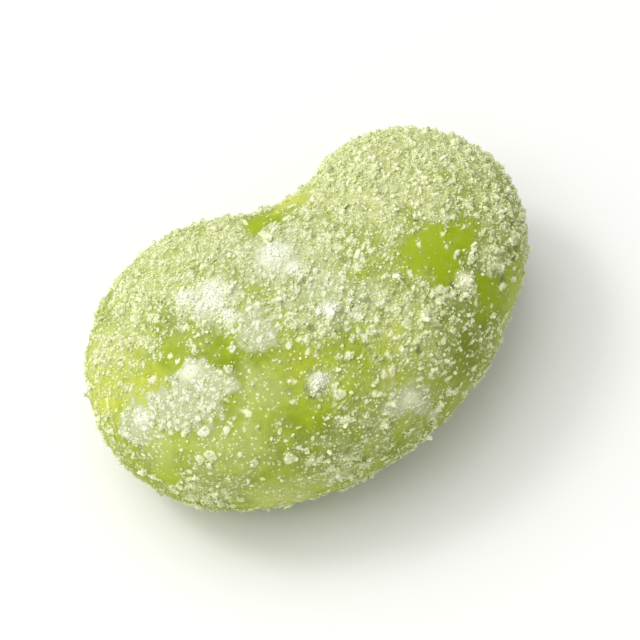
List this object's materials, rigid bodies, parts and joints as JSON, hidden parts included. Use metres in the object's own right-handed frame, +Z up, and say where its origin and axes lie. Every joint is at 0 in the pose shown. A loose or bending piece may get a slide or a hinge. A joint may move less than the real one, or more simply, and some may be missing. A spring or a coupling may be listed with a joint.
{
  "type": "frozen broad bean",
  "caption": "Kidney-shaped frozen broad bean, peeled to its two green seed halves and coated in frost crystals, lying on a flat cheek; loose food item for freezer, plate or produce scenes.",
  "frame": {"origin": "on the surface that the bean rests on, under the middle of its box", "axes": "+X along the bean towards its small lobe, where the root tip is; +Y towards the hollow side; +Z up, from the resting cheek to the other cheek"},
  "size_m": [0.024, 0.0156, 0.0106],
  "materials": {
    "seed": "smooth green seed flesh hazed with frost, glossy where it is bare",
    "frost": "loose white ice crystals on the seed"
  },
  "bodies": {
    "root": {"bean": "seed"}
  },
  "joints": []
}
